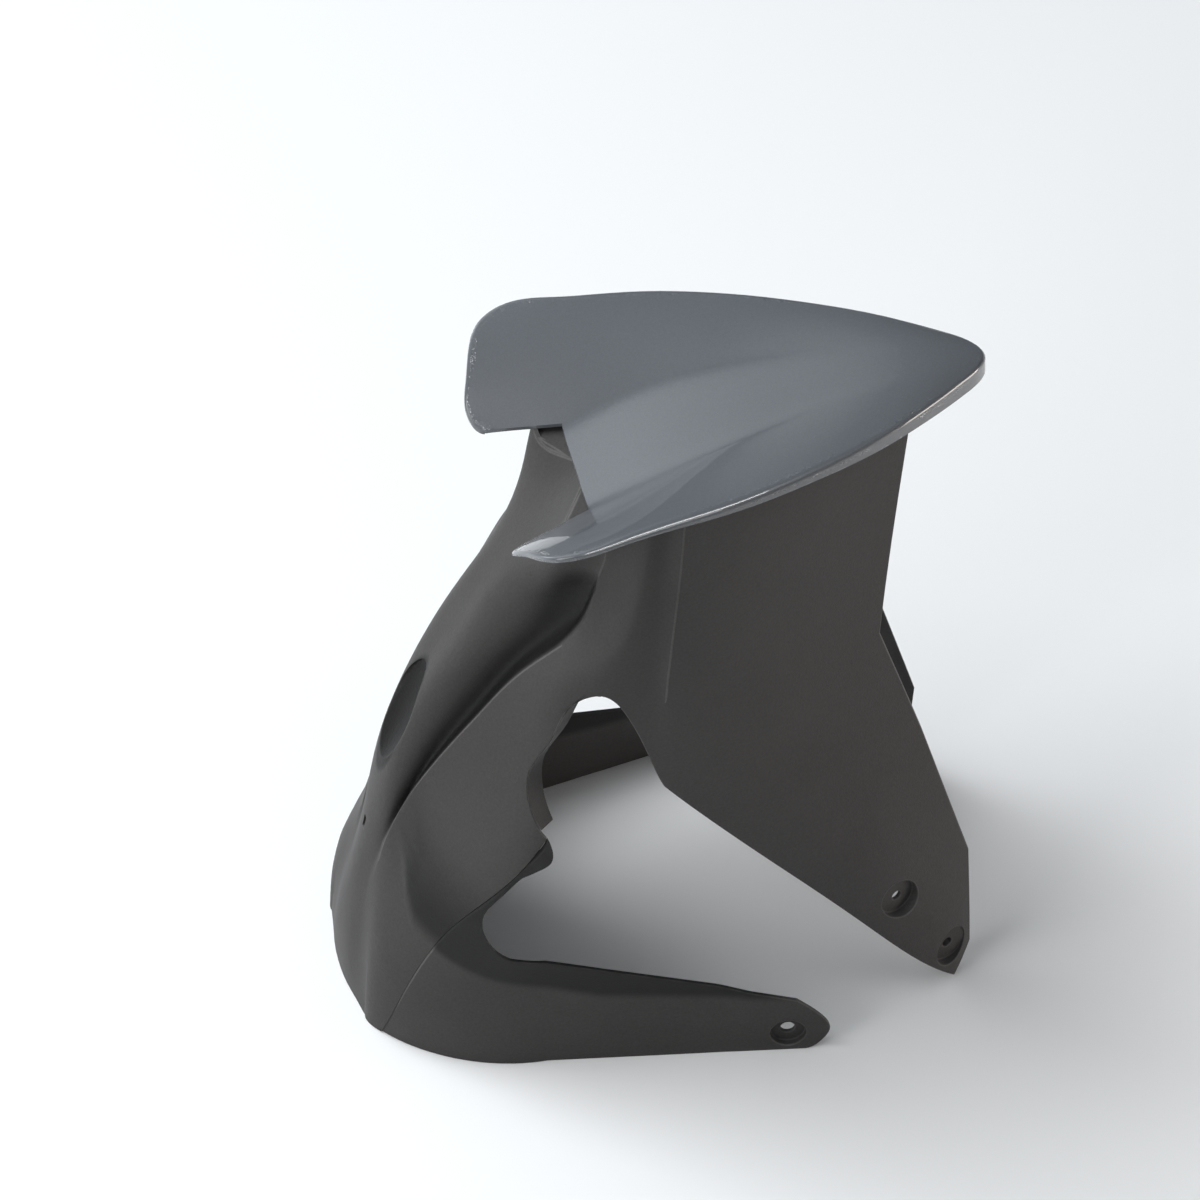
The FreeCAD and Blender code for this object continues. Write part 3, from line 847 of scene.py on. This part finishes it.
class MUDGUARD_OT_body(bpy.types.Operator):
    """Makes the textured body with its fork panels and arches"""

    bl_idname = "mudguard.body"
    bl_label = "Body"

    def execute(self, context):
        piece = copy_of_node("mudguard_body", "textured_body")
        coat_with_plastic(piece, context.scene.mudguard.plastic, True)
        finish_piece(piece, "mudguard_body", PLASTIC_SHARP)
        return {"FINISHED"}


class MUDGUARD_OT_cover(bpy.types.Operator):
    """Makes the painted top cover"""

    bl_idname = "mudguard.cover"
    bl_label = "Top cover"

    def execute(self, context):
        paint = context.scene.mudguard.paint
        piece = copy_of_node("top_cover", "painted_cover")
        piece.data.materials.append(gloss_paint(paint))
        round_normals = roll_rim(piece, paint)
        finish_piece(piece, "top_cover", PAINT_SHARP)
        keep_round_normals(piece, round_normals)
        return {"FINISHED"}


class MUDGUARD_OT_stays(bpy.types.Operator):
    """Makes the two lower stays"""

    bl_idname = "mudguard.stays"
    bl_label = "Lower stays"

    def execute(self, context):
        for side in ("right", "left"):
            piece = copy_of_node(side + "_stay", side + "_stay_skin")
            coat_with_plastic(piece, context.scene.mudguard.plastic, False)
            finish_piece(piece, side + "_stay", PLASTIC_SHARP)
        return {"FINISHED"}


class MUDGUARD_OT_screws(bpy.types.Operator):
    """Makes the cover screws with crossed heads"""

    bl_idname = "mudguard.screws"
    bl_label = "Cover screws"

    def execute(self, context):
        screw = context.scene.mudguard.screw
        piece = copy_of_node("cover_screws", "zinc_screws")
        zinc = zinc_steel()
        piece.data.materials.append(zinc)
        piece.data.materials.append(zinc)
        round_sharp_edges(piece, screw.edge, STEEL_ROUNDED, 3)
        for place, outward in screw_heads(piece):
            cut_cross(piece, place, outward, screw)
        finish_piece(piece, "cover_screws", STEEL_SHARP)
        return {"FINISHED"}


class MUDGUARD_OT_stage(bpy.types.Operator):
    """Makes the floor, the lights and the camera"""

    bl_idname = "mudguard.stage"
    bl_label = "Stage"

    def execute(self, context):
        stage = context.scene.mudguard.stage
        deselect_all()
        bpy.ops.mesh.primitive_plane_add(size=FLOOR_SIZE, location=(0.0, 0.0, 0.0))
        floor = context.active_object
        floor.name = "floor"
        floor.data.materials.append(pale_floor(stage.floor))
        for lamp in LAMPS:
            add_lamp(*lamp)
        context.scene.world = studio_world()
        add_camera(context.scene, stage)
        context.scene.view_settings.view_transform = "Standard"
        return {"FINISHED"}


class MUDGUARD_PT_panel(bpy.types.Panel):
    """Lists the pieces of the mudguard and their settings"""

    bl_idname = "MUDGUARD_PT_panel"
    bl_label = "Front mudguard"
    bl_space_type = "VIEW_3D"
    bl_region_type = "UI"
    bl_category = "Mudguard"

    def draw(self, context):
        settings = context.scene.mudguard
        for operator in OPERATORS:
            self.layout.operator(operator.bl_idname)
        for group in (settings.plastic, settings.paint, settings.screw, settings.stage):
            box = self.layout.box()
            for name in group.__annotations__:
                box.prop(group, name)


OPERATORS = (MUDGUARD_OT_body, MUDGUARD_OT_cover, MUDGUARD_OT_stays, MUDGUARD_OT_screws, MUDGUARD_OT_stage)
GROUPS = (MudguardPlastic, MudguardPaint, MudguardScrew, MudguardStage, MudguardSettings)
CLASSES = GROUPS + OPERATORS + (MUDGUARD_PT_panel,)


def register():
    for item in CLASSES:
        bpy.utils.register_class(item)
    bpy.types.Scene.mudguard = bpy.props.PointerProperty(type=MudguardSettings)


def unregister():
    del bpy.types.Scene.mudguard
    for item in reversed(CLASSES):
        bpy.utils.unregister_class(item)


def main():
    register()
    bpy.ops.mudguard.body()
    bpy.ops.mudguard.cover()
    bpy.ops.mudguard.stays()
    bpy.ops.mudguard.screws()
    bpy.ops.mudguard.stage()


if __name__ == "__main__":
    main()
